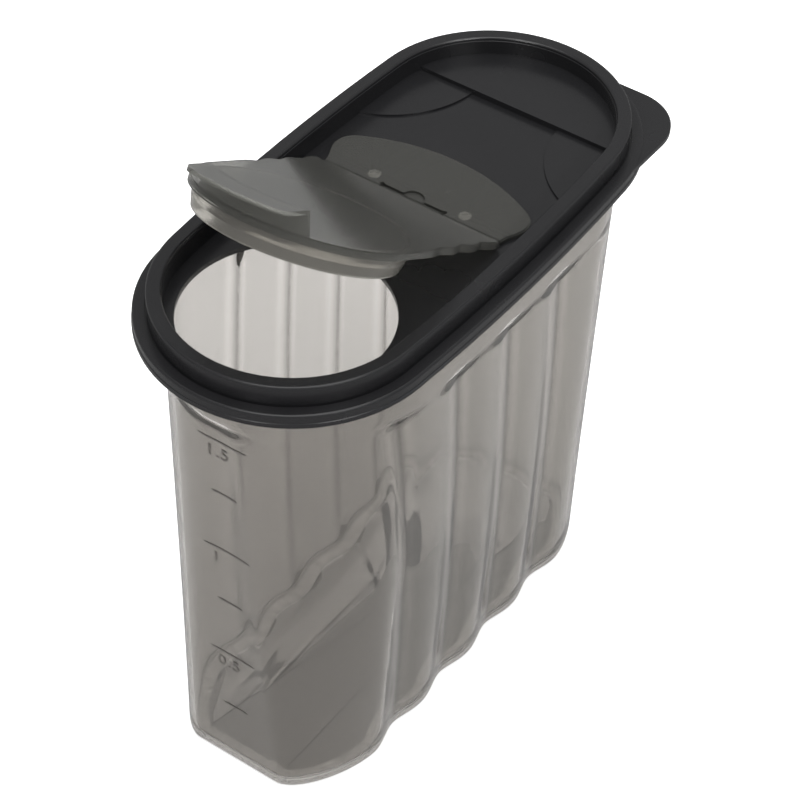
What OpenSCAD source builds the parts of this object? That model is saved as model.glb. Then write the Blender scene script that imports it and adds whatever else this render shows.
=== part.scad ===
// Cereal container with a push-fit lid and a hinged pouring flap.
// Origin: centre of the footprint, on the surface it stands on. +Z up, spout towards -Y.
// Lengths are in millimetres.

/* [Container wall] */
// Height of the container wall up to the lid's flange
wall_h = 167.7; // [140:0.1:220]
// Height of the plain band between the ledge above the flutes and the lid's flange
band_h = 16.7; // [12:0.1:30]
// Thickness of the moulded wall
wall = 1.4; // [1.1:0.1:1.8]
// Thickness of the floor
floor_t = 1.8; // [1.2:0.1:3]
// How far the wall at the ledge stands inside the lid's crest, at the middle of each side
wall_side_in = 0.85; // [0.5:0.05:2]
// How far the wall at the ledge stands inside the lid's crest, at each end
wall_end_in = 4.65; // [3:0.05:6]
// How much narrower the container is at the base than at the ledge, on each side
side_taper = 8.2; // [4:0.1:10]
// How much shorter the container is at the base than at the ledge, at each end
end_taper = 5; // [2:0.1:7]
// How far the rim that the lid sits on stands inside the lid's crest
rim_in = 0.6; // [0.2:0.05:1]
// Extra half width that the bowed long sides gain at the ledge
side_bow = 1.1; // [0:0.1:1.5]
// Half width of the flat front face at the base
base_flat = 15; // [10:0.1:18]
// Half width of the flat front face at the ledge
top_flat = 2.7; // [2:0.1:8]
// Length of the rounded corner at the base, along the long side
base_corner = 30; // [20:0.1:34]
// Length of the rounded corner at the ledge, along the long side
top_corner = 41.7; // [34:0.1:44]
// Fullness of the corner curve at the base
base_full = 0.45; // [0.2:0.01:0.7]
// Fullness of the corner curve at the ledge
top_full = 0.51; // [0.4:0.01:0.75]
// Rounding between wall and base
base_round = 1.8; // [1.2:0.1:4]
// Width of the foot ring that the container stands on
foot_w = 4.6; // [2:0.1:7]
// Depth of the recess under the floor
foot_h = 1.2; // [0.6:0.1:2]

/* [Flutes and ledge] */
// Distance between neighbouring flute creases
flute_pitch = 26; // [24:0.1:27]
// Place of the middle of the flute pattern along the base
flute_mid = -0.8; // [-6:0.1:6]
// Depth of the flutes at the base
flute_base_depth = 2.4; // [0.6:0.1:3]
// Depth of the flutes at the ledge
flute_top_depth = 1.1; // [0.4:0.1:2]
// How far the creases sweep by the ledge: towards the spout on the right side, away from it on the left
flute_sweep = 14; // [0:0.5:16]
// Depth of the ledge over the front face
front_step = 1.8; // [0.4:0.1:3]
// Half width over which the front ledge fades out
front_step_w = 20; // [12:0.5:24]
// Depth of the ledge over the flutes
side_step = 0.4; // [0.1:0.1:0.8]

/* [Lid] */
// Outer width of the raised crest ring
crest_w = 84.5; // [84:0.1:86]
// Outer length of the raised crest ring
crest_l = 180.3; // [178:0.1:184]
// Radius of the bowed long sides of the crest
crest_bow_r = 782; // [600:1:1200]
// Width of the flat top of the crest
crest_t = 4.4; // [4.2:0.1:6]
// Height of the crest above the flange
crest_h = 6.5; // [6:0.1:9]
// How far the flange and skirt stand out from the crest
flange_out = 4.2; // [3.6:0.1:6]
// Height of the skirt below the top of the flange
skirt_h = 4.35; // [3:0.05:7]
// Depth of the deck below the top of the crest
deck_depth = 7.7; // [6.8:0.1:8.4]
// Thickness of the deck
deck_t = 1.6; // [1.2:0.1:2]
// Wall thickness of the crest, the flange and the skirt
lid_wall = 1.3; // [1:0.1:1.4]
// Gap between the container's neck and the lid around it
neck_gap = 0.25; // [0.15:0.05:0.3]
// Gap between the top of the container's wall and the flange
seat_gap = 0.5; // [0.3:0.1:1]
// Rounding of the crest's and the flange's outer edges
edge_r = 0.7; // [0.4:0.1:0.9]
// Distance of the step up to the rear panel from the rear end of the crest
rear_step_in = 29.75; // [22:0.05:34]
// Height of the rear panel above the deck
rear_panel_h = 1.9; // [1:0.1:3]
// Height of the two side panels above the deck
side_panel_h = 0.6; // [0.3:0.1:0.9]
// Radius of the arcs that bound the side panels
side_panel_r = 33.8; // [28:0.1:38]
// How far the lift tab's corner lies outside the widest line of the crest, across the lid
tab_out_x = 1.55; // [0:0.05:3]
// How far the lift tab's corner lies outside the rear end of the crest, along the lid
tab_out_y = 0.95; // [0:0.05:3]
// Corner radius of the lift tab
tab_r = 16.8; // [8:0.1:18]
// Thickness of the lift tab
tab_t = 1.4; // [1:0.1:2]

/* [Pouring flap] */
// Radius of the pour opening
pour_r = 30.9; // [28:0.1:31.5]
// Distance of the pour opening's centre from the front end of the crest
pour_in = 37.25; // [36:0.05:40]
// Gap between the plug ring and the pour opening
plug_gap = 0.5; // [0.45:0.05:0.8]
// Depth of the plug ring below the flap
plug_h = 6.2; // [3:0.1:6.6]
// Wall thickness of the plug ring
plug_t = 1.5; // [1:0.1:2.5]
// Distance from the hinge line to the centre of the flap's disc
reach = 59; // [57:0.1:60]
// How far the flap's disc overlaps the edge of the pour opening
flap_lap = 1.4; // [1:0.1:1.4]
// Thickness of the flap
flap_t = 2.2; // [1.6:0.1:2.4]
// Gap between the closed flap and the deck
flap_gap = 0.25; // [0.2:0.05:0.4]
// How far the flap's sides between disc and hinge stand out past the disc
flap_wider = 0.3; // [0:0.1:1.5]
// Distance between neighbouring finger scallops along the flap's edge
scallop_l = 11.9; // [9:0.1:13]
// Depth of each finger scallop
scallop_d = 1.1; // [0.6:0.1:2]
// Half width of the thumb tab's wall where it meets the flap
thumb_half_w = 18; // [14:0.1:22]
// How much narrower the thumb tab is at its top, on each side
thumb_taper = 1.8; // [0:0.1:3]
// Gap between the closed thumb tab and the crest below it
thumb_gap = 0.35; // [0.3:0.05:0.8]
// Thickness of the thumb tab's plate and wall
thumb_t = 1.3; // [0.9:0.1:1.5]
// How far the middle of the thumb tab reaches past the outside of the crest
thumb_over = 4.8; // [2:0.1:6]
// Corner radius of the thumb tab
thumb_r = 4; // [1:0.1:6]
// Angle by which the flap stands open
open_angle = 30.7; // [0:0.1:75]

/* [Hinge plate] */
// Thickness of the hinge plate above the deck
plate_t = 1.5; // [1.2:0.1:1.9]
// How far the hinge plate stands out past the flap's disc, on each side
plate_wider = 1.6; // [0:0.1:2.5]
// How much narrower the hinge plate is at the hinge line, on each side
plate_waist = 2.8; // [0:0.1:4]
// Distance from the hinge line to the middle of the plate's rear edge
plate_l = 23.6; // [20:0.1:28]
// Radius of the plate's rear edge
plate_rear_r = 62; // [55:1:90]
// Corner radius of the plate
plate_corner_r = 7; // [4:0.1:9]
// Radius of the hinge's thin web
web_r = 0.3; // [0.2:0.05:0.35]
// Gap between the moving and the fixed side of the hinge
hinge_gap = 0.35; // [0.3:0.05:0.5]
// Half width of the tongue in the middle of the hinge
tongue_half_w = 10.6; // [8:0.1:12]
// How far the tongue reaches behind the hinge line
tongue_l = 1.5; // [1:0.1:1.6]
// Thickness of the tongue
tongue_t = 0.9; // [0.6:0.1:1]
// Radius of the half-round bay behind the middle of the tongue
bay_r = 3.75; // [2.5:0.05:4.5]
// Depth of the half-round bay
bay_depth = 0.8; // [0.4:0.1:1]
// Radius of the two round reliefs at the ends of the tongue
relief_r = 0.8; // [0.6:0.1:1.4]
// Distance of the plate's pegs from the middle plane
peg_x = 16; // [14:0.1:24]
// Radius of the plate's pegs
peg_r = 1.9; // [1.2:0.1:2.4]

/* [Hidden] */

smoke = [0.56, 0.54, 0.52, 0.6];
charcoal = [0.17, 0.17, 0.18];
clear_grey = [0.5, 0.5, 0.49, 0.7];

round_fn = 96;
small_fn = 48;
side_fn = 720;
lip = 0.01;

// Heights of the lid, worked up from the container's wall
flange_z = wall_h + seat_gap + lid_wall;
crest_z = flange_z + crest_h;
deck_z = crest_z - deck_depth;
neck_top = crest_z - lid_wall - seat_gap;

// Plan of the crest: two bowed sides and two round ends that meet in tangent lines
crest_end_r = (crest_bow_r * crest_w - (crest_w * crest_w + crest_l * crest_l) / 4)
    / (2 * crest_bow_r - crest_l);
crest_end_y = crest_l / 2 - crest_end_r;
crest_side_x = crest_bow_r - crest_w / 2;
crest_turn = atan2(crest_end_y, crest_side_x);

// Neck of the container, inside the hollow crest
neck_off = lid_wall + neck_gap;

// Plan of the container at the ledge and at the base, and the height of its shoulder
top_half_w = crest_w / 2 - wall_side_in;
top_half_l = crest_l / 2 - wall_end_in;
base_half_w = top_half_w - side_taper;
base_half_l = top_half_l - end_taper;
ledge_z = wall_h - band_h;
shoulder_z = deck_z - deck_t - seat_gap;
shoulder_h = 3.4;

// Sampling of the container's skin
lobe_steps = 6;
nose_steps = 5;
tail_steps = 7;
end_steps = 16;
side_end_in = 17.5;
side_reach = top_half_l - side_end_in;
flutes = 4;
sweep_power = 1.8;
crease_base = 1.6;
crease_top = 0.55;
wall_levels = [0.02, 0.1, 0.22, 0.36, 0.5, 0.63, 0.76, 0.88, 1];

// Places along the lid and at its corner
pour_y = crest_l / 2 - pour_in;
rear_step_y = crest_l / 2 - rear_step_in;
tab_x = crest_w / 2 + tab_out_x;
tab_y = crest_l / 2 + tab_out_y;

// Axis of the flap's hinge, and the flap's sizes seen from that axis
hinge_y = reach - pour_y;
hinge_z = deck_z + plate_t;
leaf_top = flap_gap + flap_t - plate_t;
leaf_slope_z = 0.25;
disc_r = pour_r + flap_lap;
flap_half_w = disc_r + flap_wider;
plate_half_w = disc_r + plate_wider;
plate_hinge_w = plate_half_w - plate_waist;
plug_r = pour_r - plug_gap;
leaf_start = web_r + hinge_gap;
bay_in = 0.6;
pocket_d = 0.7;
peg_gap = 0.2;
peg_place = 4.6;
peg_head = 0.6;
thumb_top = crest_z + thumb_gap + thumb_t - hinge_z;
thumb_front = hinge_y + crest_l / 2 + thumb_over;
thumb_back_r = disc_r - thumb_t;
thumb_nose_r = thumb_front - reach;
scallop_lobes = 3.5;
scallop_steps = 56;
scallop_power = 1.3;
scallop_end = leaf_start + scallop_lobes * scallop_l;
tongue_root = 3;

// Half width of the deck between its two side panels, small roundings, and overlap of a cutting tool
side_panel_in = 15.2;
bevel = 0.4;
plate_steps = 10;
cut = 1;

function mix(a, b, t) = a + (b - a) * t;
function fade(v) = pow(max(0, 1 - v * v), 2);

// Corner curve between (0, 1) and (1, 0) of a unit square: one coordinate from the other
function corner(v, full) =
    let (k = v + 2 * full * full * (1 - v))
    1 - k + sqrt(max(0, k * k - v * v));

// Place of one crease along the container at height share t
function crease_y(i, t) =
    flute_mid + (i - (flutes - 1) / 2) * flute_pitch - flute_sweep * pow(max(0, min(1, t)), sweep_power);

// Depth of the flutes at y: full lobes that meet in creases
function flute_depth(y, t) =
    let (q = (y - crease_y(0, t)) / flute_pitch)
    q < -0.5 || q > flutes - 0.5 ? 0
    : mix(flute_base_depth, flute_top_depth, t)
        * (1 - pow(abs(sin(180 * q)), mix(crease_base, crease_top, t)));

// Half width of the plain tapered wall at y, and its half length at x
function plain_x(y, t) =
    let (
        w = mix(base_half_w, top_half_w, t),
        f = mix(base_flat, top_flat, t),
        c = mix(base_corner, top_corner, t),
        v = (abs(y) - mix(base_half_l, top_half_l, t) + c) / c
    )
    (v <= 0 ? w : f + (w - f) * corner(v, mix(base_full, top_full, t))) + side_bow * t * fade(y / side_reach);
function plain_y(x, t) =
    let (
        w = mix(base_half_w, top_half_w, t),
        f = mix(base_flat, top_flat, t),
        c = mix(base_corner, top_corner, t),
        l = mix(base_half_l, top_half_l, t),
        u = (abs(x) - f) / (w - f)
    )
    u <= 0 ? l : l - c + c * corner(u, mix(base_full, top_full, t));

// Half width and half length of the lid's plan, grown by off
function crest_x(y, off) =
    abs(y) < crest_end_y + crest_end_r * sin(crest_turn)
    ? sqrt(pow(crest_bow_r + off, 2) - y * y) - crest_side_x
    : sqrt(max(0, pow(crest_end_r + off, 2) - pow(abs(y) - crest_end_y, 2)));
function crest_y(x, off) = crest_end_y + sqrt(max(0, pow(crest_end_r + off, 2) - x * x));

// Values of y at which a side is sampled: every crease is one of them
function steps(a, b, n) = [for (i = [0:n - 1]) mix(a, b, i / n)];
function side_ys(t) = concat(
    steps(-side_reach, crease_y(0, t), nose_steps),
    [for (i = [0:flutes - 2]) each steps(crease_y(i, t), crease_y(i + 1, t), lobe_steps)],
    steps(crease_y(flutes - 1, t), side_reach, tail_steps)
);

// A closed ring of points, anticlockwise from the nose: the right side from its half width at y, the rear
// end from its half length at x, then the left side and the front end as the same turned by half a circle
function ring(xs, ys, ends) = concat(
    [for (i = [0:len(ys) - 1]) [xs[i], ys[i]]],
    [for (i = [0:end_steps - 1]) [end_share(i) * ends[0], ends[1][i]]],
    [for (i = [0:len(ys) - 1]) [-xs[i], -ys[i]]],
    [for (i = [0:end_steps - 1]) [-end_share(i) * ends[0], -ends[2][i]]]
);
// Share of an end's half width at sample i, closer together near the corners
function end_share(i) = mix(mix(1, -1, i / end_steps), cos(180 * i / end_steps), 0.5);

// Rings of the fluted wall, of the plain band and of the neck
function fluted_ring(t) =
    let (
        ys = side_ys(t),
        e = plain_x(side_reach, t)
    )
    ring(
        [for (y = ys) plain_x(y, t) - flute_depth(y, t) - side_step * t * fade(y / side_reach)],
        ys,
        [e, [for (i = [0:end_steps - 1]) plain_y(e * end_share(i), t)],
            [for (i = [0:end_steps - 1]) plain_y(e * end_share(i), t)
                - front_step * t * fade(e * end_share(i) / front_step_w)]]
    );
function band_ring(t) =
    let (
        ys = side_ys(1),
        e = plain_x(side_reach, t),
        ends = [for (i = [0:end_steps - 1]) plain_y(e * end_share(i), t)]
    )
    ring([for (y = ys) plain_x(y, t)], ys, [e, ends, ends]);
function neck_ring(off) =
    let (
        ys = side_ys(1),
        e = crest_x(side_reach, off),
        ends = [for (i = [0:end_steps - 1]) crest_y(e * end_share(i), off)]
    )
    ring([for (y = ys) crest_x(y, off)], ys, [e, ends, ends]);

// A ring moved inwards along its own normals
function inset(p, d) = [
    for (i = [0:len(p) - 1])
        let (
            a = p[(i + len(p) - 1) % len(p)],
            b = p[(i + 1) % len(p)],
            v = b - a,
            n = [-v[1], v[0]] / norm(v)
        )
        p[i] + d * n
];
function blend_rings(a, b, t) = [for (i = [0:len(a) - 1]) mix(a[i], b[i], t)];
function raise(p, z) = [for (q = p) [q[0], q[1], z]];

// Outside of the container from the recess under the floor up to the neck, then the inside back down
function skin_rings() =
    let (
        base = fluted_ring(0),
        foot = inset(base, base_round),
        band_z = shoulder_z - shoulder_h,
        band_t = band_z / ledge_z,
        rim = neck_ring(-rim_in),
        neck = neck_ring(-neck_off),
        inner_neck = inset(neck, wall),
        floor_round = base_round * 0.8
    )
    concat(
        [
            raise(inset(foot, foot_w + foot_h), foot_h),
            raise(inset(foot, foot_w), 0),
            raise(foot, 0)
        ],
        [for (a = [30, 60]) raise(inset(base, base_round * (1 - sin(a))), base_round * (1 - cos(a)))],
        [for (t = wall_levels) raise(fluted_ring(t), ledge_z * t)],
        [
            raise(band_ring(1), ledge_z + front_step / 8),
            raise(band_ring(band_t), band_z),
            raise(blend_rings(band_ring(band_t), rim, 0.5), mix(band_z, shoulder_z, 0.4)),
            raise(rim, shoulder_z),
            raise(rim, wall_h - bevel),
            raise(inset(rim, bevel), wall_h),
            raise(neck, wall_h),
            raise(neck, neck_top - bevel),
            raise(inset(neck, bevel), neck_top),
            raise(inset(neck, wall - bevel), neck_top),
            raise(inner_neck, neck_top - bevel),
            raise(inner_neck, shoulder_z),
            raise(blend_rings(inset(band_ring(band_t), wall), inner_neck, 0.5), mix(band_z, shoulder_z, 0.5)),
            raise(inset(band_ring(band_t), wall), band_z),
            raise(inset(band_ring(1), wall), ledge_z + front_step / 2)
        ],
        [
            for (i = [len(wall_levels) - 1:-1:1])
                raise(inset(fluted_ring(wall_levels[i]), wall), ledge_z * wall_levels[i])
        ],
        [
            raise(inset(blend_rings(base, fluted_ring(wall_levels[1]), 0.2), wall + floor_round / 3),
                foot_h + floor_t + floor_round / 2),
            raise(inset(base, wall + floor_round), foot_h + floor_t)
        ]
    );

// One closed solid from rings that all have the same number of points
module skin(rings) {
    n = len(rings[0]);
    m = len(rings);
    polyhedron(
        points = [for (r = rings) each r],
        faces = concat(
            [[for (i = [0:n - 1]) i]],
            [
                for (j = [0:m - 2]) for (i = [0:n - 1]) each [
                    [j * n + i, (j + 1) * n + i, (j + 1) * n + (i + 1) % n],
                    [j * n + i, (j + 1) * n + (i + 1) % n, j * n + (i + 1) % n]
                ]
            ],
            [[for (i = [n - 1:-1:0]) (m - 1) * n + i]]
        ),
        convexity = 10
    );
}

module container_body() {
    color(smoke) skin(skin_rings());
}

// Sweeps a section, drawn as (distance out from the crest's outside, height), round the crest's plan
module sweep_crest() {
    for (s = [0, 180]) rotate([0, 0, s]) {
        translate([0, crest_end_y, 0]) rotate([0, 0, crest_turn])
            rotate_extrude(angle = 180 - 2 * crest_turn, $fn = round_fn * 2)
                translate([crest_end_r, 0]) children();
        translate([-crest_side_x, 0, 0]) rotate([0, 0, -crest_turn])
            rotate_extrude(angle = 2 * crest_turn, $fn = side_fn)
                translate([crest_bow_r, 0]) children();
    }
}

// Plan of the crest grown by off, cut into a plate between two heights
module crest_plate(off, z0, z1) {
    translate([0, 0, z0]) linear_extrude(z1 - z0) {
        for (s = [-1, 1]) translate([0, s * crest_end_y]) circle(crest_end_r + off, $fn = round_fn * 2);
        intersection() {
            translate([-crest_side_x, 0]) circle(crest_bow_r + off, $fn = side_fn);
            translate([crest_side_x, 0]) circle(crest_bow_r + off, $fn = side_fn);
            square([crest_w * 2, 2 * (crest_end_y + (crest_end_r + off) * sin(crest_turn))], center = true);
        }
    }
}

function arc(cx, cy, r, a0, a1, n) =
    [for (i = [0:n]) let (a = mix(a0, a1, i / n)) [cx + r * cos(a), cy + r * sin(a)]];

// Section of the crest, the flange and the skirt: a hollow ring that the container's neck pushes into
module rim_section() {
    bead = 0.2;
    bead_top = flange_z - skirt_h * 0.62;
    bead_foot = flange_z - skirt_h * 0.68;
    inner_step = 0.15;
    step_z = crest_z - edge_r - 3 * inner_step;
    groove = 0.5;
    channel_w = wall + 2 * neck_gap;
    polygon(concat(
        arc(-edge_r, crest_z - edge_r, edge_r, 90, 0, 4),
        [
            [0, flange_z - groove],
            [groove, flange_z - groove],
            [groove, flange_z]
        ],
        arc(flange_out - edge_r - bead, flange_z - edge_r, edge_r, 90, 0, 4),
        [
            [flange_out - bead, bead_top],
            [flange_out, bead_foot],
            [flange_out, flange_z - skirt_h],
            [flange_out - lid_wall, flange_z - skirt_h],
            [flange_out - lid_wall, flange_z - lid_wall],
            [-lid_wall, flange_z - lid_wall],
            [-lid_wall, crest_z - lid_wall],
            [-lid_wall - channel_w, crest_z - lid_wall],
            [-lid_wall - channel_w, deck_z - deck_t],
            [-crest_t - inner_step, deck_z - deck_t],
            [-crest_t - inner_step, step_z - inner_step],
            [-crest_t, step_z]
        ],
        arc(-crest_t + edge_r, crest_z - edge_r, edge_r, 180, 90, 4)
    ));
}

// Rounded plate at one corner of the flange, flush with it and clear of its inside
module lift_tab() {
    root_l = 2.2 * tab_r;
    tab_top = flange_z - bevel;
    inner_x = tab_x - root_l;
    inner_y = tab_y - root_l;
    difference() {
        translate([0, 0, tab_top - tab_t]) linear_extrude(tab_t) {
            translate([tab_x - tab_r, tab_y - tab_r]) circle(tab_r, $fn = round_fn);
            translate([inner_x, inner_y]) square([tab_x - inner_x, tab_y - tab_r - inner_y]);
            translate([inner_x, inner_y]) square([tab_x - tab_r - inner_x, tab_y - inner_y]);
        }
        crest_plate(flange_out - lid_wall / 2, tab_top - tab_t - cut, tab_top + cut);
    }
}

module lid() {
    deck_off = -crest_t;
    panel_y = hinge_y + plate_l + side_panel_r;
    color(charcoal) difference() {
        union() {
            sweep_crest() rim_section();
            crest_plate(deck_off, deck_z - deck_t, deck_z);
            intersection() {
                crest_plate(deck_off, deck_z - deck_t, deck_z + rear_panel_h);
                translate([-crest_w, rear_step_y, 0]) cube([crest_w * 2, crest_l, crest_z]);
            }
            intersection() {
                crest_plate(deck_off, deck_z - deck_t, deck_z + side_panel_h);
                for (s = [-1, 1]) translate([s * (side_panel_r + side_panel_in), panel_y, 0])
                    cylinder(r = side_panel_r, h = crest_z, $fn = round_fn);
                translate([-crest_w, 0, 0]) cube([crest_w * 2, rear_step_y + lip, crest_z]);
            }
            lift_tab();
        }
        translate([0, -pour_y, deck_z - deck_t - cut])
            cylinder(r = pour_r, h = deck_t + 2 * cut, $fn = round_fn * 2);
        for (s = [-1, 1]) translate([s * peg_x, hinge_y + peg_place, deck_z - deck_t - cut])
            cylinder(r = peg_r + peg_gap, h = deck_t + 2 * cut, $fn = small_fn);
        translate([-tongue_half_w - relief_r, hinge_y - tongue_l, deck_z - pocket_d])
            cube([2 * (tongue_half_w + relief_r), 2 * tongue_l + hinge_gap, pocket_d + cut]);
    }
}

// Plan of the hinge plate, shrunk by d on its free edges
module plate_plan(d) {
    front_y = hinge_y + leaf_start;
    arc_y = hinge_y + plate_l - plate_rear_r;
    cx = plate_half_w - plate_corner_r;
    cy = arc_y + sqrt(pow(plate_rear_r - plate_corner_r, 2) - cx * cx);
    turn = atan2(cy - arc_y, cx);
    corner_r = plate_corner_r - d;
    side = [
        for (i = [0:plate_steps - 1])
            let (t = i / plate_steps)
            [mix(plate_hinge_w, plate_half_w, t * t * (3 - 2 * t)) - d, mix(front_y, cy, t)]
    ];
    polygon(concat(
        side,
        arc(cx, cy, corner_r, 0, turn, plate_steps),
        arc(0, arc_y, plate_rear_r - d, turn + 1, 179 - turn, 2 * plate_steps),
        arc(-cx, cy, corner_r, 180 - turn, 180, plate_steps),
        [for (i = [plate_steps - 1:-1:0]) [-side[i][0], side[i][1]]]
    ));
}

// What is cut out of the plate's front edge round the tongue, with two round reliefs
module tongue_notch() {
    translate([-tongue_half_w - hinge_gap, 0])
        square([2 * (tongue_half_w + hinge_gap), hinge_y + tongue_l + hinge_gap]);
    for (s = [-1, 1]) translate([s * (tongue_half_w + hinge_gap), hinge_y + tongue_l])
        circle(relief_r, $fn = small_fn);
}

module hinge_plate() {
    color(clear_grey) {
        difference() {
            translate([0, 0, deck_z]) {
                linear_extrude(plate_t - bevel) plate_plan(0);
                linear_extrude(plate_t) plate_plan(bevel);
            }
            translate([0, 0, deck_z - cut]) linear_extrude(plate_t + 2 * cut) tongue_notch();
            translate([0, hinge_y + tongue_l - bay_in, hinge_z - bay_depth])
                cylinder(r = bay_r, h = plate_t, $fn = small_fn);
        }
        for (s = [-1, 1]) translate([s * peg_x, hinge_y + peg_place, deck_z - deck_t - peg_gap]) {
            cylinder(r = peg_r, h = deck_t + peg_gap + plate_t / 2, $fn = small_fn);
            translate([0, 0, -peg_head]) cylinder(r = peg_r + 2 * peg_gap, h = peg_head, $fn = small_fn);
        }
    }
}

// The two thin webs that the flap bends at, either side of the tongue
module hinge_webs() {
    web_l = plate_hinge_w - bevel - tongue_half_w - 3 * hinge_gap;
    color(clear_grey) for (s = [0, 1]) mirror([s, 0, 0])
        translate([tongue_half_w + 2 * hinge_gap, hinge_y, hinge_z - web_r]) {
            rotate([0, 90, 0]) cylinder(r = web_r, h = web_l, $fn = small_fn);
            translate([0, 0, -web_r / 2]) cube([web_l, leaf_start, web_r]);
        }
}

// Plan of the flap seen from the hinge line, shrunk by d on its free edges: a disc, and sides with scallops
module leaf_plan(d) {
    side = [
        for (i = [0:scallop_steps])
            let (a = 180 * scallop_lobes * i / scallop_steps)
            [
                flap_half_w - d - scallop_d * (1 - pow(abs(sin(a)), scallop_power)),
                mix(-leaf_start, -scallop_end, i / scallop_steps)
            ]
    ];
    translate([0, -reach]) circle(disc_r - d, $fn = round_fn * 2);
    polygon(concat(
        side,
        [[disc_r - d, -reach], [-disc_r + d, -reach]],
        [for (i = [scallop_steps:-1:0]) [-side[i][0], side[i][1]]]
    ));
}

module spout_flap() {
    color(clear_grey)
        translate([0, hinge_y, hinge_z]) rotate([-open_angle, 0, 0]) flap_closed();
}

// The flap as it lies when closed, with the hinge line as its origin
module flap_closed() {
    difference() {
        union() {
            translate([0, 0, leaf_top - flap_t]) linear_extrude(flap_t - bevel) leaf_plan(0);
            translate([0, 0, leaf_top - bevel - lip]) linear_extrude(bevel + lip) leaf_plan(bevel);
        }
        hinge_slope();
    }
    translate([-tongue_half_w, -tongue_root, leaf_slope_z - tongue_t])
        cube([2 * tongue_half_w, tongue_root + tongue_l, tongue_t]);
    translate([0, -reach, leaf_top - flap_t]) rotate_extrude($fn = round_fn * 2)
        polygon([
            [plug_r - plug_t, lip],
            [plug_r - plug_t, -plug_h + bevel],
            [plug_r - plug_t + bevel, -plug_h],
            [plug_r - 2 * bevel, -plug_h],
            [plug_r - bevel / 2, -plug_h * 0.6],
            [plug_r, -plug_h * 0.45],
            [plug_r - bevel / 2, -plug_h * 0.3],
            [plug_r - bevel / 2, lip]
        ]);
    thumb_tab();
}

// What is cut off the top of the flap where it thins towards the hinge
module hinge_slope() {
    slope_l = 3;
    rotate([90, 0, 90]) linear_extrude(4 * flap_half_w, center = true)
        polygon([
            [-leaf_start - slope_l, leaf_top],
            [-leaf_start, leaf_slope_z],
            [cut, leaf_slope_z],
            [cut, leaf_top + cut],
            [-leaf_start - slope_l, leaf_top + cut]
        ]);
}

// Curved wall on the front of the disc, and the plate that reaches out over the crest
module thumb_tab() {
    top_half = thumb_half_w - thumb_taper;
    intersection() {
        translate([0, -reach, leaf_top - bevel]) difference() {
            cylinder(r = disc_r - bevel / 2, h = thumb_top - leaf_top + bevel - lip, $fn = round_fn * 2);
            translate([0, 0, -cut]) cylinder(r = thumb_back_r, h = thumb_top + 2 * cut, $fn = round_fn * 2);
        }
        translate([0, -reach, 0]) rotate([90, 0, 0]) linear_extrude(disc_r + cut)
            polygon([
                [-thumb_half_w, leaf_top - bevel],
                [thumb_half_w, leaf_top - bevel],
                [top_half, thumb_top],
                [-top_half, thumb_top]
            ]);
    }
    translate([0, -reach, thumb_top - thumb_t]) rotate([0, 0, 180]) linear_extrude(thumb_t) difference() {
        thumb_plan(top_half);
        circle(thumb_back_r, $fn = round_fn * 2);
    }
}

// Plan of the thumb tab's plate seen from the disc's centre: a round nose between two straight sides
module thumb_plan(half) {
    cx = half - thumb_r;
    cy = sqrt(pow(thumb_nose_r - thumb_r, 2) - cx * cx);
    turn = atan2(cy, cx);
    polygon(concat(
        [[-half, 0], [half, 0]],
        arc(cx, cy, thumb_r, 0, turn, plate_steps),
        arc(0, 0, thumb_nose_r, turn + 1, 179 - turn, plate_steps),
        arc(-cx, cy, thumb_r, 180 - turn, 180, plate_steps)
    ));
}

container_body();
lid();
hinge_plate();
hinge_webs();
spout_flap();
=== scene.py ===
import math

import bmesh
import bpy
from mathutils import Matrix, Vector


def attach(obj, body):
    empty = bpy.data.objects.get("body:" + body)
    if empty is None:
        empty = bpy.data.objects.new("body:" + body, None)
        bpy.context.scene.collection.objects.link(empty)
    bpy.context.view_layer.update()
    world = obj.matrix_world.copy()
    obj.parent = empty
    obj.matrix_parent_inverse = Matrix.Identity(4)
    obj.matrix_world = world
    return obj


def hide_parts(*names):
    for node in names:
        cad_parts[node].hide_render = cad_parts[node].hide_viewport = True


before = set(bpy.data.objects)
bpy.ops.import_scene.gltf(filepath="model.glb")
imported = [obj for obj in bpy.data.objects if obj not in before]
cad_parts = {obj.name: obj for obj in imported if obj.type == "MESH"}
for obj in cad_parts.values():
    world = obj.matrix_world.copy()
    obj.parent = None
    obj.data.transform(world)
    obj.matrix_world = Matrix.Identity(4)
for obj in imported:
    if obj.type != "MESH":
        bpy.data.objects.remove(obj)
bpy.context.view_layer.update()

# Cereal container with a push-fit lid and a hinged pouring flap. The lid, the hinge and the flap are the
# CAD's own nodes with eased edges. The container is drawn again here, more finely, from the sizes in the
# part's source. Lengths are in millimetres, and MM turns them into metres. +Z is up, and the spout is
# towards -Y.
MM = 0.001

# Container: height of the wall up to the lid's flange, height of the ledge, thickness of wall and floor
WALL_H, LEDGE_Z, WALL, FLOOR_T = 167.7, 151.0, 1.4, 1.8

# Plan of the plain wall at the base and at the ledge: half width, half length, half width of the flat end
# faces, length of the rounded corners along the sides, and fullness of their curve
BASE_PLAN = (33.2, 80.5, 15.0, 30.0, 0.45)
TOP_PLAN = (41.4, 85.5, 2.7, 41.7, 0.51)

# Extra half width of the bowed sides at the ledge, and how far a side reaches from its middle
SIDE_BOW, SIDE_REACH = 1.1, 68.0

# Depth of the ledge over the front face, half width over which it fades out, and its depth over the flutes
FRONT_STEP, FRONT_STEP_W, SIDE_STEP = 1.8, 20.0, 0.4

# Section of the ledge: share of the way out from the fluted wall to the band, and height above LEDGE_Z
LEDGE_SECTION = ((0, -0.5), (0.03, -0.25), (0.12, -0.08), (0.5, 0.0), (0.88, 0.08), (0.97, 0.25), (1, 0.5))

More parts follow.
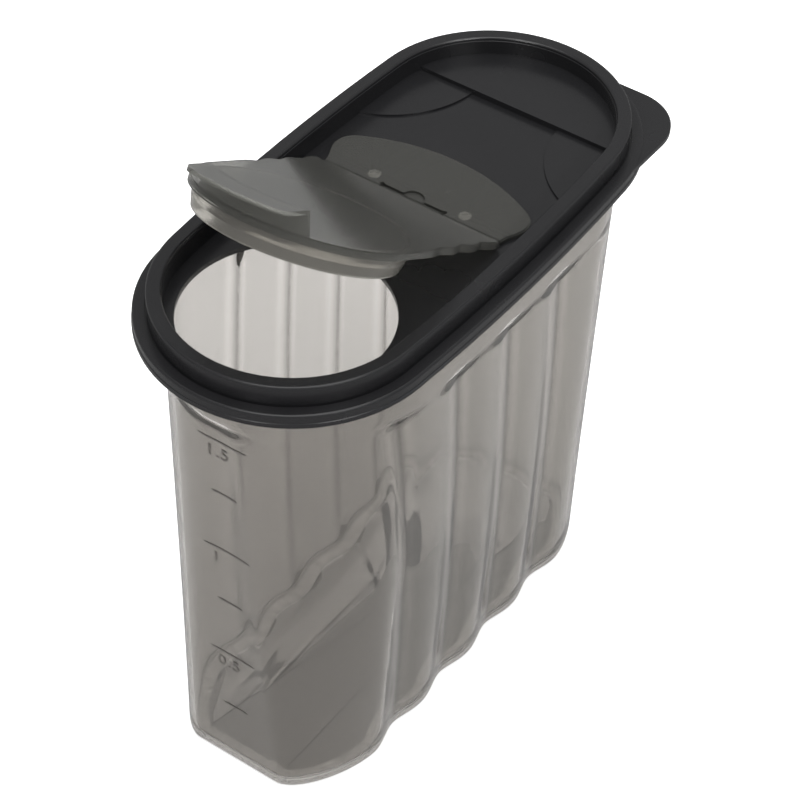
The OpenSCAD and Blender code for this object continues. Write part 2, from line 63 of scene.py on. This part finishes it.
# Rounding between wall and base, width of the foot ring and depth of the recess in it. A ring of points
# FOOT_HOLD inside the rounding keeps the foot's shading flat
BASE_ROUND, FOOT_W, FOOT_H, FOOT_HOLD = 1.8, 4.6, 1.2, 0.5

# Inside: rounding between wall and floor, and how far above the ledge the step under the band begins
INNER_ROUND, INNER_STEP_H = 1.6, 3

# Flutes of a side: number, distance between creases, middle of the pattern, and depth at the base and at
# the ledge
FLUTES, FLUTE_PITCH, FLUTE_MID, FLUTE_BASE, FLUTE_TOP = 4, 26.0, -0.8, 2.4, 1.1

# How far the creases sweep by the ledge, towards the spout on the right side and away from it on the left,
# and the power of that curve
FLUTE_SWEEP, SWEEP_POWER = 14.0, 1.8

# Power of the curve across a flute: a wide valley at the base, a narrow crease at the ledge
CREASE_BASE, CREASE_TOP = 1.6, 0.55

# Width of a crease's round bottom as a share of a flute, outside and inside the wall
BLUNT, INNER_BLUNT = 0.15, 0.36

# Lid: width, length and height of the crest ring, radius of its bowed sides, thickness of the wall, and
# depth and thickness of the deck
CREST_W, CREST_L, CREST_H, CREST_BOW, LID_WALL, DECK_DEPTH, DECK_T = 84.5, 180.3, 6.5, 782.0, 1.3, 7.7, 1.6

# Seat of the lid: gap above the rim and round the neck, how far the rim stands inside the crest, and
# height of the shoulder
SEAT_GAP, NECK_GAP, RIM_IN, SHOULDER_H = 0.5, 0.25, 0.6, 3.4

# Rounding of the rim and the neck, and the share of it at the middle of the round
ROUND, MID_ROUND = 0.4, 0.3

# Heights that follow from these sizes
CREST_Z = WALL_H + SEAT_GAP + LID_WALL + CREST_H
NECK_TOP = CREST_Z - LID_WALL - SEAT_GAP
SHOULDER_Z = CREST_Z - DECK_DEPTH - DECK_T - SEAT_GAP
BAND_Z = SHOULDER_Z - SHOULDER_H
BAND_T = BAND_Z / LEDGE_Z

# Crest ring in plan: radius and centre of its round ends, centre of its bowed sides, angle where they meet
END_R = (CREST_BOW * CREST_W - (CREST_W ** 2 + CREST_L ** 2) / 4) / (2 * CREST_BOW - CREST_L)
END_Y = CREST_L / 2 - END_R
SIDE_X = CREST_BOW - CREST_W / 2
TURN = math.atan2(END_Y, SIDE_X)

# Points of a side before, between and after its creases, and points across an end
NOSE, LOBE, TAIL, END = 18, 26, 30, 84

# Steps up the wall, over the shoulder, round the base, down the inner step and round the corner inside
WALL_STEPS, SHOULDER_STEPS, BASE_STEPS, INNER_STEPS, CORNER_STEPS = 46, 6, 8, 8, 6

# Painted light along the creases, in shares of a flute: half width of the dark line of painted shade in a
# crease, and distance and half width of the pale strips of painted highlight beside it
SHADE_LINE_W, HIGHLIGHT_AWAY, HIGHLIGHT_W = 0.04, 0.13, 0.06

# Strength of the painted highlight strips, strength of all the painted shade and highlight at the base, and
# the least half width that has it
HIGHLIGHT_STRENGTH, PAINT_AT_BASE, SHADE_FROM = 0.65, 0.35, 20

# Fill scale on the front: how far each mark lies below the crest's top, and its number where it has one
SCALE_MARKS = (
    (33.124, "1.5"), (54.08, None), (77.909, "1"), (100.217, None), (124.215, "0.5"), (148.72, None)
)

# Ends in x of a rule with a number and of one without
LONG_RULE, SHORT_RULE = (-7.8, 9.0), (-4.0, 5.3)

# Section of a rule, as place up the wall and height out of it: two low ridges with a shallow dip between
RULE_SECTION = ((-0.45, -0.15), (-0.3, 0.12), (-0.18, 0.05), (0.18, 0.05), (0.3, 0.12), (0.45, -0.15))

# Steps along a rule, and the share of its section at both ends
RULE_STEPS, RULE_END = 10, 0.3

# Numbers: size, spacing, thickness to each side and bevel
NUMBER_SIZE, NUMBER_SPACING, NUMBER_H, NUMBER_EDGE = 6.2, 1.12, 0.12, 0.05

# Left end of a number in x, and how far its foot lies below its rule
NUMBER_X, NUMBER_DROP = -5.2, 6.6

# Flap: place of the hinge line, and opening angle at rest
HINGE_Y, HINGE_Z, FLAP_OPEN = 6.1, 169.8, math.radians(30.7)

# The two depths below the hinge line, square to the flap, between which the plug ring's lighter colour sets
# in. The underside of the flap's plate lies between them
RING_FROM, RING_FULL = 1.0, 1.6


# Curves
def mix(a, b, t):
    return a + (b - a) * t


def fade(v):
    """1 in the middle, falling smoothly to 0 where v reaches 1 or -1."""
    return max(0.0, 1 - v * v) ** 2


def smooth(i, n):
    """Step i of n on the way from 0 to 1, slow at both ends."""
    return 0.5 - 0.5 * math.cos(math.pi * i / n)


def quarter(n):
    """A quarter round from (0, 0), where it is level, to (1, 1), where it is upright."""
    return [(math.sin(math.pi / 2 * i / n), 1 - math.cos(math.pi / 2 * i / n)) for i in range(n + 1)]


def corner(v, full):
    """A rounded corner: 1 at v = 0 and 0 at v = 1. It nears a circle's quarter as full nears 0.707."""
    k = v + 2 * full * full * (1 - v)
    return 1 - k + math.sqrt(max(0.0, k * k - v * v))


# Outline of the container. t is the height as a share of LEDGE_Z
def crease_y(i, t):
    """Place of crease i of the right side."""
    at_base = FLUTE_MID + (i - (FLUTES - 1) / 2) * FLUTE_PITCH
    return at_base - FLUTE_SWEEP * max(0.0, min(1.0, t)) ** SWEEP_POWER


def flute_place(y, t):
    """y counted in flutes from the first crease, or None beyond the fluted part."""
    q = (y - crease_y(0, t)) / FLUTE_PITCH
    return q if -0.5 <= q <= FLUTES - 0.5 else None


def flute_depth(y, t, blunt):
    """How far the flutes draw the wall in: most in the creases, and nothing halfway between them."""
    q = flute_place(y, t)
    if q is None:
        return 0.0
    power = mix(CREASE_BASE, CREASE_TOP, t)
    bottom, top = blunt ** power, math.hypot(1, blunt) ** power
    lobe = (math.hypot(math.sin(math.pi * q), blunt) ** power - bottom) / (top - bottom)
    return mix(FLUTE_BASE, FLUTE_TOP, t) * (1 - lobe)


def front_step(x, t):
    """How far the front face stands back from the plain wall: not at all at the base, most at the ledge."""
    return FRONT_STEP * t * fade(x / FRONT_STEP_W)


def plan(t):
    """The five sizes of BASE_PLAN and TOP_PLAN at t."""
    return [mix(low, high, t) for low, high in zip(BASE_PLAN, TOP_PLAN)]


def plain_x(y, t):
    """Half width of the plain wall."""
    half_w, half_l, flat, corner_l, full = plan(t)
    v = (abs(y) - half_l + corner_l) / corner_l
    x = half_w if v <= 0 else flat + (half_w - flat) * corner(v, full)
    return x + SIDE_BOW * t * fade(y / SIDE_REACH)


def plain_y(x, t):
    """Half length of the plain wall."""
    half_w, half_l, flat, corner_l, full = plan(t)
    u = (abs(x) - flat) / (half_w - flat)
    return half_l if u <= 0 else half_l - corner_l + corner_l * corner(u, full)


def crest_x(y, off):
    """Half width of the crest ring's outline, moved out by off."""
    if abs(y) < END_Y + END_R * math.sin(TURN):
        return math.sqrt((CREST_BOW + off) ** 2 - y * y) - SIDE_X
    return math.sqrt(max(0.0, (END_R + off) ** 2 - (abs(y) - END_Y) ** 2))


def crest_y(x, off):
    """Half length of the crest ring's outline, moved out by off."""
    return END_Y + math.sqrt(max(0.0, (END_R + off) ** 2 - x * x))


# Rings: closed outlines with the same number of points each
def side_ys(t):
    """Places along the right side, front to rear, closest together at the creases."""
    first, last = crease_y(0, t), crease_y(FLUTES - 1, t)
    ys = [mix(-SIDE_REACH, first, math.sin(math.pi / 2 * i / NOSE)) for i in range(NOSE)]
    for i in range(FLUTES - 1):
        ys += [mix(crease_y(i, t), crease_y(i + 1, t), smooth(j, LOBE)) for j in range(LOBE)]
    ys += [mix(last, SIDE_REACH, 1 - math.cos(math.pi / 2 * i / TAIL)) for i in range(TAIL)]
    return ys


def end_share(i):
    """Place of point i across an end, from 1 to -1, a little closer together at both sides."""
    return mix(mix(1, -1, i / END), math.cos(math.pi * i / END), 0.5)


def ring(xs, ys, meet_x, rear, front):
    """Right side, rear end, left side and front end. The left side is the right one after half a turn.
    Sides and ends meet at half width meet_x, and rear and front are half lengths."""
    points = list(zip(xs, ys))
    points += [(end_share(i) * meet_x, rear[i]) for i in range(END)]
    points += [(-x, -y) for x, y in zip(xs, ys)]
    points += [(-end_share(i) * meet_x, -front[i]) for i in range(END)]
    return points


def fluted_ring(t, blunt=BLUNT):
    """The wall below the ledge, with its flutes and the set-back front."""
    ys = side_ys(t)
    meet_x = plain_x(SIDE_REACH, t)
    xs = [plain_x(y, t) - flute_depth(y, t, blunt) - SIDE_STEP * t * fade(y / SIDE_REACH) for y in ys]
    rear = [plain_y(meet_x * end_share(i), t) for i in range(END)]
    front = [rear[i] - front_step(meet_x * end_share(i), t) for i in range(END)]
    return ring(xs, ys, meet_x, rear, front)


def plain_ring(x_at, y_at):
    """A ring without flutes, from its half width at y and its half length at x."""
    ys = side_ys(1)
    meet_x = x_at(SIDE_REACH)
    ends = [y_at(meet_x * end_share(i)) for i in range(END)]
    return ring([x_at(y) for y in ys], ys, meet_x, ends, ends)


def band_ring(t):
    """The plain band above the ledge."""
    return plain_ring(lambda y: plain_x(y, t), lambda x: plain_y(x, t))


def neck_ring(off):
    """The rim or the neck: the crest ring's outline, moved out by off."""
    return plain_ring(lambda y: crest_x(y, off), lambda x: crest_y(x, off))


def inset(points, d):
    """Every point moved in by d, square to the line between its neighbours."""
    moved = []
    for i, (x, y) in enumerate(points):
        before, after = points[i - 1], points[(i + 1) % len(points)]
        dx, dy = after[0] - before[0], after[1] - before[1]
        size = math.hypot(dx, dy)
        moved.append((x - d * dy / size, y + d * dx / size))
    return moved


def inner_ring(t):
    """The inside of the wall below the ledge."""
    return inset(fluted_ring(t, INNER_BLUNT), WALL)


def between(a, b, t):
    return [(mix(p[0], q[0], t), mix(p[1], q[1], t)) for p, q in zip(a, b)]


def raised(points, z):
    return [(x, y, z) for x, y in points]


# Skin of the container, with a ring at each of these shares of LEDGE_Z up the fluted wall
WALL_FROM = 0.02
LEVELS = [mix(WALL_FROM, 1, i / WALL_STEPS) for i in range(1, WALL_STEPS)]


def foot_rings():
    """From the recess out over the foot ring and round the base's edge."""
    base = fluted_ring(0)
    foot = inset(base, BASE_ROUND)
    rings = [
        raised(inset(foot, FOOT_W + FOOT_H), FOOT_H),
        raised(inset(foot, FOOT_W), 0),
        raised(inset(foot, FOOT_HOLD), 0),
    ]
    for across, up in quarter(BASE_STEPS):
        rings.append(raised(inset(base, BASE_ROUND * (1 - across)), BASE_ROUND * up))
    return rings


def wall_rings():
    """Up the fluted wall, over the ledge in a small fillet and a small round, and up the plain band."""
    rings = [raised(fluted_ring(t), LEDGE_Z * t) for t in LEVELS]
    wall, band = fluted_ring(1), band_ring(1)
    for share, dz in LEDGE_SECTION:
        rings.append(raised(between(wall, band, share), LEDGE_Z + dz))
    for share in (0.25, 0.5, 0.75, 1):
        rings.append(raised(band_ring(mix(1, BAND_T, share)), mix(LEDGE_Z, BAND_Z, share)))
    return rings


def shoulder_ring(low, high, i):
    """Step i of the shoulder, from the ring low at the band to the ring high at its top."""
    z = mix(BAND_Z, SHOULDER_Z, i / SHOULDER_STEPS)
    return raised(between(low, high, smooth(i, SHOULDER_STEPS)), z)


def neck_rings(rim, neck):
    """Over the rim that the lid sits on, up the neck and down inside it."""
    return [
        raised(rim, WALL_H - ROUND),
        raised(inset(rim, ROUND * MID_ROUND), WALL_H - ROUND * MID_ROUND),
        raised(inset(rim, ROUND), WALL_H),
        raised(neck, WALL_H),
        raised(neck, NECK_TOP - ROUND),
        raised(inset(neck, ROUND), NECK_TOP),
        raised(inset(neck, WALL - ROUND), NECK_TOP),
        raised(inset(neck, WALL), NECK_TOP - ROUND),
        raised(inset(neck, WALL), WALL_H),
    ]


def inner_rings():
    """Down the inside, from a drawn-out step under the band to the floor."""
    rings = []
    step_t = LEVELS[-2]
    wall, band = inner_ring(step_t), inset(band_ring(1), WALL)
    for i in range(INNER_STEPS + 1):
        z = mix(LEDGE_Z + INNER_STEP_H, LEDGE_Z * step_t, i / INNER_STEPS)
        rings.append(raised(between(wall, band, 1 - smooth(i, INNER_STEPS)), z))
    rings += [raised(inner_ring(t), LEDGE_Z * t) for t in reversed(LEVELS[:-2])]
    base = inner_ring(0)
    for across, up in reversed(quarter(CORNER_STEPS)):
        rings.append(raised(inset(base, INNER_ROUND * (1 - across)), FOOT_H + FLOOR_T + INNER_ROUND * up))
    return rings


def container_rings():
    """From the recess under the container up the outside, over the neck and down to the floor."""
    band, rim, neck = band_ring(BAND_T), neck_ring(-RIM_IN), neck_ring(-LID_WALL - NECK_GAP)
    rings = foot_rings() + wall_rings()
    rings += [shoulder_ring(band, rim, i) for i in range(1, SHOULDER_STEPS + 1)]
    rings += neck_rings(rim, neck)
    inner_band, inner_neck = inset(band, WALL), inset(neck, WALL)
    rings += [shoulder_ring(inner_band, inner_neck, i) for i in range(SHOULDER_STEPS, -1, -1)]
    return rings + inner_rings()


def painted_crease_light(x, y, z):
    """Painted light along the creases: 1 for the painted shade in a crease, below 0 for the pale strips of
    painted highlight beside it and 0 elsewhere, weaker towards the base.
    """
    t = z / LEDGE_Z
    q = flute_place(math.copysign(1, x) * y, t)
    if q is None or not 0 < t < 1 or abs(x) < SHADE_FROM:
        return 0.0
    away = abs(q - round(q))
    line = math.exp(-(away / SHADE_LINE_W) ** 2)
    strips = math.exp(-((away - HIGHLIGHT_AWAY) / HIGHLIGHT_W) ** 2)
    return (line - HIGHLIGHT_STRENGTH * strips) * mix(PAINT_AT_BASE, 1, t)


# Meshes
def metres(point):
    return tuple(c * MM for c in point)


def loft(bm, rings):
    """Skin through the rings, with a face over the first and the last."""
    rows = [[bm.verts.new(metres(point)) for point in points] for points in rings]
    for low, high in zip(rows, rows[1:]):
        for i in range(len(low)):
            j = (i + 1) % len(low)
            bm.faces.new((low[i], low[j], high[j], high[i]))
    bm.faces.new(list(reversed(rows[0])))
    bm.faces.new(rows[-1])


def smooth_out(bm):
    """Faces turned outwards and shaded smooth."""
    bmesh.ops.recalc_face_normals(bm, faces=bm.faces)
    for face in bm.faces:
        face.smooth = True


def mesh_from(bm, name):
    mesh = bpy.data.meshes.new(name)
    bm.to_mesh(mesh)
    bm.free()
    return mesh


def container_mesh():
    """The container's skin, with the painted shade and highlight of the creases at each of its points."""
    bm = bmesh.new()
    loft(bm, container_rings())
    smooth_out(bm)
    mesh = mesh_from(bm, "container_skin")
    # the crease attribute holds painted shade in the creases and painted highlights beside them
    shade = mesh.attributes.new("crease", "FLOAT", "POINT")
    for v in mesh.vertices:
        shade.data[v.index].value = painted_crease_light(*(v.co / MM))
    return mesh


def front_y(x, z):
    """Place of the front face at x and z."""
    t = z / LEDGE_Z
    return -(plain_y(x, t) - front_step(x, t))


def on_front(x, z, out):
    """The point that stands out from the front face at x and z, square to its slope."""
    slope = (front_y(x, z + 1) - front_y(x, z - 1)) / 2
    k = math.hypot(1, slope)
    return (x, front_y(x, z) - out / k, z + out * -slope / k)


def add_rule(bm, z, x0, x1):
    """One raised rule across the front. Its ends are narrower and lower than the rest."""
    rings = []
    for i in range(RULE_STEPS + 1):
        x = mix(x0, x1, i / RULE_STEPS)
        share = RULE_END if i in (0, RULE_STEPS) else 1
        section = [(dz * share, out * share if out > 0 else out) for dz, out in RULE_SECTION]
        rings.append([on_front(x, z + dz, out) for dz, out in section])
    loft(bm, rings)


def rule_mesh():
    """The rules of the fill scale."""
    bm = bmesh.new()
    for down, label in SCALE_MARKS:
        add_rule(bm, CREST_Z - down, *(LONG_RULE if label else SHORT_RULE))
    smooth_out(bm)
    return mesh_from(bm, "fill_scale_rules")


def flat_number(label):
    """A plain number as a mesh: x along it, y up it and z out of it."""
    curve = bpy.data.curves.new("number", "FONT")
    curve.body = label
    curve.size = NUMBER_SIZE
    curve.space_character = NUMBER_SPACING
    curve.extrude = NUMBER_H
    curve.bevel_depth = NUMBER_EDGE
    curve.resolution_u = 3
    carrier = bpy.data.objects.new("number", curve)
    bpy.context.scene.collection.objects.link(carrier)
    bpy.context.view_layer.update()
    mesh = bpy.data.meshes.new_from_object(carrier)
    bpy.data.objects.remove(carrier)
    bpy.data.curves.remove(curve)
    return mesh


def number_mesh():
    """The plain numbers of the fill scale, laid on the front face."""
    bm = bmesh.new()
    for down, label in SCALE_MARKS:
        if not label:
            continue
        start = len(bm.verts)
        flat = flat_number(label)
        bm.from_mesh(flat)
        bpy.data.meshes.remove(flat)
        bm.verts.ensure_lookup_table()
        foot = CREST_Z - down - NUMBER_DROP
        for v in bm.verts[start:]:
            along, up, out = v.co
            v.co = metres(on_front(NUMBER_X + along, foot + up, out))
    return mesh_from(bm, "fill_scale_numbers")


# Materials
NOISE_SPAN = (0.3, 0.7)        # what a noise texture's values mostly lie between
CLOUD = 0.04                   # how far the clouds of the clear plastic move its colour from tint to edge
# the first factor paints the highlights beside the creases, the second paints the shade in them
HIGHLIGHT_FACTOR, SHADE_FACTOR = 1.3, 0.7          # factors on its colour for a crease shade of -1 and of 1


def material(name):
    """A material with one Principled node: the material, its node tree and that node."""
    finish = bpy.data.materials.new(name)
    finish.use_nodes = True
    tree = finish.node_tree
    tree.nodes.clear()
    out = tree.nodes.new("ShaderNodeOutputMaterial")
    shader = tree.nodes.new("ShaderNodeBsdfPrincipled")
    tree.links.new(shader.outputs[0], out.inputs[0])
    return finish, tree, shader


def noise(tree, scale, detail):
    """Noise over the piece's own coordinates."""
    coords = tree.nodes.new("ShaderNodeTexCoord")
    node = tree.nodes.new("ShaderNodeTexNoise")
    node.inputs["Scale"].default_value = scale
    node.inputs["Detail"].default_value = detail
    tree.links.new(coords.outputs["Object"], node.inputs["Vector"])
    return node.outputs[0]


def ramp(tree, source, low, high, start, end):
    """A value that goes from low to high while source goes from start to end."""
    node = tree.nodes.new("ShaderNodeMapRange")
    node.inputs["From Min"].default_value = start
    node.inputs["From Max"].default_value = end
    node.inputs["To Min"].default_value = low
    node.inputs["To Max"].default_value = high
    tree.links.new(source, node.inputs["Value"])
    return node.outputs[0]


def colour_mix(tree, share, a, b, blend="MIX"):
    """Colours a and b mixed by share. Each of the three is a value or the output of a node."""
    node = tree.nodes.new("ShaderNodeMix")
    node.data_type = "RGBA"
    node.blend_type = blend
    for socket, value in ((node.inputs[0], share), (node.inputs[6], a), (node.inputs[7], b)):
        if isinstance(value, bpy.types.NodeSocket):
            tree.links.new(value, socket)
        else:
            socket.default_value = (*value, 1) if isinstance(value, tuple) else value
    return node.outputs[2]


def bump(tree, height, strength, distance):
    """A normal that follows the height."""
    node = tree.nodes.new("ShaderNodeBump")
    node.inputs["Strength"].default_value = strength
    node.inputs["Distance"].default_value = distance
    tree.links.new(height, node.inputs["Height"])
    return node.outputs[0]


def clear_plastic(name, tint, edge, rough, density):
    """Tinted plastic that light passes through, a little cloudy: tint where it is seen square on, and edge
    where it is seen edge on. On a piece that carries painted crease light, painted shade darkens the
    creases and painted highlights lighten the strips beside them."""
    finish, tree, shader = material(name)
    facing = tree.nodes.new("ShaderNodeLayerWeight")
    facing.inputs["Blend"].default_value = 0.6
    clouded = tree.nodes.new("ShaderNodeMath")
    clouded.operation = "ADD"
    clouded.use_clamp = True
    tree.links.new(facing.outputs["Facing"], clouded.inputs[0])
    cloud = ramp(tree, noise(tree, scale=28, detail=4), -CLOUD, CLOUD, *NOISE_SPAN)
    tree.links.new(cloud, clouded.inputs[1])
    # painted shade in the creases and painted highlights beside them, read from the skin's crease attribute
    crease = tree.nodes.new("ShaderNodeAttribute")
    crease.attribute_name = "crease"
    colour = colour_mix(tree, clouded.outputs[0], tint, edge)
    shade = ramp(tree, crease.outputs["Fac"], HIGHLIGHT_FACTOR, SHADE_FACTOR, -1, 1)
    creased = colour_mix(tree, 1, colour, shade, "MULTIPLY")
    tree.links.new(creased, shader.inputs["Base Color"])
    uneven = ramp(tree, noise(tree, scale=900, detail=2), rough * 0.7, rough * 1.3, *NOISE_SPAN)
    tree.links.new(uneven, shader.inputs["Roughness"])
    shader.inputs["Transmission Weight"].default_value = density
    shader.inputs["IOR"].default_value = 1.45
    # full reflections on both faces of the thin wall would make it too bright
    shader.inputs["Specular Tint"].default_value = (0.25, 0.245, 0.24, 1)
    return finish


def lighten_plug_ring(finish, colour):
    """The flap's plug ring is thinner than its plate, so lighter. It is told by its depth below the hinge
    line, square to the flap as it stands open at rest."""
    tree = finish.node_tree
    base = tree.nodes["Principled BSDF"].inputs["Base Color"]
    coords = tree.nodes.new("ShaderNodeTexCoord")
    level = tree.nodes.new("ShaderNodeVectorMath")
    level.operation = "DOT_PRODUCT"
    level.inputs[1].default_value = (0, math.sin(FLAP_OPEN), math.cos(FLAP_OPEN))
    tree.links.new(coords.outputs["Object"], level.inputs[0])
    hinge = HINGE_Y * math.sin(FLAP_OPEN) + HINGE_Z * math.cos(FLAP_OPEN)
    full, start = (hinge - RING_FULL) * MM, (hinge - RING_FROM) * MM
    ring_share = ramp(tree, level.outputs["Value"], 1, 0, full, start)
    tree.links.new(colour_mix(tree, ring_share, base.links[0].from_socket, colour), base)


def solid_plastic(name, colour, cloud_colour, rough, grain):
    """Opaque plastic with faint clouds and a fine grain."""
    finish, tree, shader = material(name)
    cloud = noise(tree, scale=35, detail=4)
    fine = noise(tree, scale=grain, detail=3)
    tree.links.new(colour_mix(tree, cloud, colour, cloud_colour), shader.inputs["Base Color"])
    tree.links.new(ramp(tree, cloud, rough - 0.04, rough + 0.05, *NOISE_SPAN), shader.inputs["Roughness"])
    tree.links.new(bump(tree, fine, strength=0.05, distance=0.00002), shader.inputs["Normal"])
    shader.inputs["IOR"].default_value = 1.5
    shader.inputs["Specular IOR Level"].default_value = 0.4
    return finish


def floor_paper():
    """Matt white paper that glows a little, so that it comes out white."""
    finish, tree, shader = material("floor_paper")
    mottle = noise(tree, scale=60, detail=3)
    colour = colour_mix(tree, mottle, (0.93, 0.93, 0.93), (0.96, 0.96, 0.96))
    tree.links.new(colour, shader.inputs["Base Color"])
    shader.inputs["Roughness"].default_value = 0.9
    shader.inputs["Emission Color"].default_value = (1, 1, 1, 1)
    shader.inputs["Emission Strength"].default_value = 0.5
    return finish


# Pieces
def new_piece(name, mesh, body, finish, stands_for=()):
    """A piece that rides on a body, shown in place of the nodes that it stands for."""
    mesh.materials.append(finish)
    piece = bpy.data.objects.new(name, mesh)
    bpy.context.scene.collection.objects.link(piece)
    if stands_for:
        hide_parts(*stands_for)
    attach(piece, body)


def dress(name, finish, width):
    """Shows a CAD node in that finish, with its edges eased by width."""
    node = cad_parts[name]
    if not node.data.materials:
        node.data.materials.append(finish)
    for slot in node.material_slots:
        slot.material = finish
    edge = node.modifiers.new("edge", "BEVEL")
    edge.width = width * MM
    edge.segments = 2
    edge.limit_method = "ANGLE"
    edge.angle_limit = math.radians(50)
    edge.harden_normals = True


smoke = clear_plastic(
    "smoke_plastic", tint=(0.412, 0.396, 0.377), edge=(0.475, 0.457, 0.434), rough=0.015, density=0.9
)
flap_clear = clear_plastic(
    "flap_plastic", tint=(0.225, 0.225, 0.207), edge=(0.19, 0.19, 0.176), rough=0.12, density=0.78
)
lighten_plug_ring(flap_clear, (0.4, 0.385, 0.35))
charcoal = solid_plastic(
    "charcoal_plastic", (0.0115, 0.0115, 0.0125), (0.0145, 0.0145, 0.0155), rough=0.24, grain=1400
)

new_piece("container_skin", container_mesh(), "container", smoke, ("container_body",))
new_piece("fill_scale_rules", rule_mesh(), "container", smoke)
new_piece("fill_scale_numbers", number_mesh(), "container", smoke)
dress("lid", charcoal, width=0.25)
dress("hinge_plate", flap_clear, width=0.3)
dress("hinge_webs", flap_clear, width=0.02)
dress("spout_flap", flap_clear, width=0.25)

# Floor and backdrop in one sweep, in metres: front edge, where it begins to rise, radius of the rise,
# height of the backdrop and half width. A turn by FLOOR_TURN degrees makes the backdrop face the camera
FLOOR_FRONT, RISE_FROM, RISE_R, BACKDROP_H, FLOOR_HALF_W = -3.0, 1.2, 0.8, 4.0, 4.0
FLOOR_TURN = 34


def add_floor():
    """The floor stays out of mirror reflections, which would draw white rims round the clear plastic."""
    profile = [(FLOOR_FRONT, 0.0)]
    profile += [(RISE_FROM + RISE_R * across, RISE_R * up) for across, up in quarter(12)]
    profile.append((RISE_FROM + RISE_R, BACKDROP_H))
    bm = bmesh.new()
    edges = (-FLOOR_HALF_W, FLOOR_HALF_W)
    left, right = [[bm.verts.new((x, y, z)) for y, z in profile] for x in edges]
    for i in range(len(profile) - 1):
        bm.faces.new((left[i], right[i], right[i + 1], left[i + 1])).smooth = True
    floor = bpy.data.objects.new("floor", mesh_from(bm, "floor"))
    bpy.context.scene.collection.objects.link(floor)
    floor.data.materials.append(floor_paper())
    floor.visible_glossy = False
    floor.rotation_euler[2] = math.radians(FLOOR_TURN)


def add_world(strength):
    """Even white light from all round."""
    world = bpy.data.worlds.new("studio")
    world.use_nodes = True
    background = world.node_tree.nodes["Background"]
    background.inputs[0].default_value = (1, 1, 1, 1)
    background.inputs[1].default_value = strength
    bpy.context.scene.world = world


def lamp(name, at, to, size, power):
    """A rectangular lamp. It isn't seen through the clear plastic, where it would leave specks."""
    data = bpy.data.lights.new(name, "AREA")
    data.shape = "RECTANGLE"
    data.size, data.size_y = size
    data.energy = power
    light = bpy.data.objects.new(name, data)
    bpy.context.scene.collection.objects.link(light)
    light.location = at
    light.rotation_euler = (Vector(to) - Vector(at)).to_track_quat("-Z", "Y").to_euler()
    light.visible_transmission = False


add_floor()
add_world(strength=0.42)
lamp("top", (0.1, -0.1, 1.6), to=(0, 0, 0), size=(1.4, 1.4), power=18)
lamp("right", (1.15, -0.45, 1.0), to=(0, 0, 0.15), size=(0.6, 0.06), power=5)
lamp("front", (0.2, -1.2, 1.0), to=(0, 0, 0.15), size=(0.4, 0.06), power=3)

# Camera, as fitted to the photographed outlines: direction, height and roll in degrees, place in metres,
# focal length and picture width in pixels, and width of the sensor in millimetres
AZIMUTH, ELEVATION, ROLL = 34.227, 43.696, 1.744
CAMERA_AT = (0.3285, -0.4789, CREST_Z * MM + 0.4739)
FOCAL_PX, PICTURE_PX, SENSOR = 2620, 800, 36


def add_camera():
    az, el, roll = math.radians(AZIMUTH), math.radians(ELEVATION), math.radians(ROLL)
    back = Vector((math.sin(az) * math.cos(el), -math.cos(az) * math.cos(el), math.sin(el)))
    level = Vector((math.cos(az), math.sin(az), 0))
    upright = back.cross(level)
    right = math.cos(roll) * level + math.sin(roll) * upright
    up = math.cos(roll) * upright - math.sin(roll) * level
    data = bpy.data.cameras.new("camera")
    data.sensor_width = SENSOR
    data.lens = FOCAL_PX / PICTURE_PX * SENSOR
    data.clip_start = 0.01
    camera = bpy.data.objects.new("camera", data)
    bpy.context.scene.collection.objects.link(camera)
    turn = Matrix((right, up, back)).transposed().to_4x4()
    turn.translation = CAMERA_AT
    camera.matrix_world = turn
    bpy.context.scene.camera = camera


add_camera()
bpy.context.scene.view_settings.view_transform = "Standard"
bpy.context.view_layer.update()
